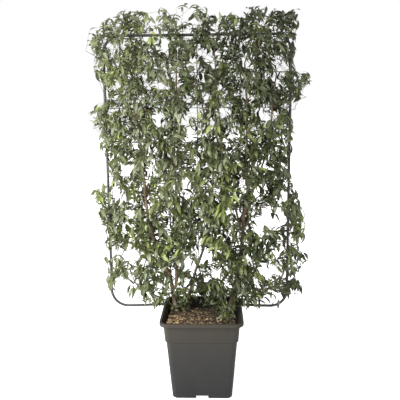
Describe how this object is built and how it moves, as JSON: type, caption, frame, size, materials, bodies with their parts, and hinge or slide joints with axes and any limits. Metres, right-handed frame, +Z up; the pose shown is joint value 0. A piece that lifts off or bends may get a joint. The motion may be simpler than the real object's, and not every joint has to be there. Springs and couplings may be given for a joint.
{
  "type": "potted espalier portugal laurel",
  "caption": "Portugal laurel trained flat as an espalier on a wired steel tube frame, growing in a square plastic pot filled with bark mulch.",
  "frame": {"origin": "middle of the pot's flat underside, on the ground", "axes": "+Z up the stems, -Y towards the plant's front face, +X to the right as seen from the front; the training frame stands at the pot's back rim, at +Y"},
  "size_m": [1.3258, 0.6268, 2.212],
  "materials": {
    "pot": "dark grey moulded plastic, faintly dusty",
    "mulch": "loose bark chips, tan to dark brown",
    "steel": "dark grey painted steel tube and wire",
    "bark": "smooth grey-brown to reddish bark with pale marks",
    "leaves": "glossy dark evergreen leaves, young ones yellow-green"
  },
  "bodies": {
    "root": {"pot": "pot", "soil": "mulch", "bottom_bar": "steel", "top_bar": "steel", "left_post": "steel", "right_post": "steel", "bottom_left_bend": "steel", "bottom_right_bend": "steel", "top_left_bend": "steel", "top_right_bend": "steel", "wire_1": "steel", "wire_2": "steel", "wire_3": "steel", "wire_4": "steel", "wire_5": "steel", "wire_6": "steel", "wire_7": "steel", "centre_rod": "steel", "left_rim_hook": "steel", "right_rim_hook": "steel", "left_stem": "bark", "left_bough": "bark", "inner_left_bough": "bark", "far_left_bough": "bark", "far_left_upright": "bark", "middle_stem": "bark", "right_stem": "bark", "right_bough": "bark", "inner_right_bough": "bark", "outer_right_bough": "bark", "far_right_bough": "bark", "low_right_bough": "bark", "foliage_far_left_1": "leaves", "foliage_far_left_2": "leaves", "foliage_far_left_3": "leaves", "foliage_far_left_4": "leaves", "foliage_left_1": "leaves", "foliage_left_2": "leaves", "foliage_left_3": "leaves", "foliage_left_4": "leaves", "foliage_left_5": "leaves", "foliage_inner_left_1": "leaves", "foliage_inner_left_2": "leaves", "foliage_inner_left_3": "leaves", "foliage_inner_left_4": "leaves", "foliage_inner_left_5": "leaves", "foliage_inner_right_1": "leaves", "foliage_inner_right_2": "leaves", "foliage_inner_right_3": "leaves", "foliage_inner_right_4": "leaves", "foliage_inner_right_5": "leaves", "foliage_right_1": "leaves", "foliage_right_2": "leaves", "foliage_right_3": "leaves", "foliage_right_4": "leaves", "foliage_right_5": "leaves", "foliage_far_right_1": "leaves", "foliage_far_right_2": "leaves", "foliage_far_right_3": "leaves", "foliage_far_right_4": "leaves"}
  },
  "joints": []
}
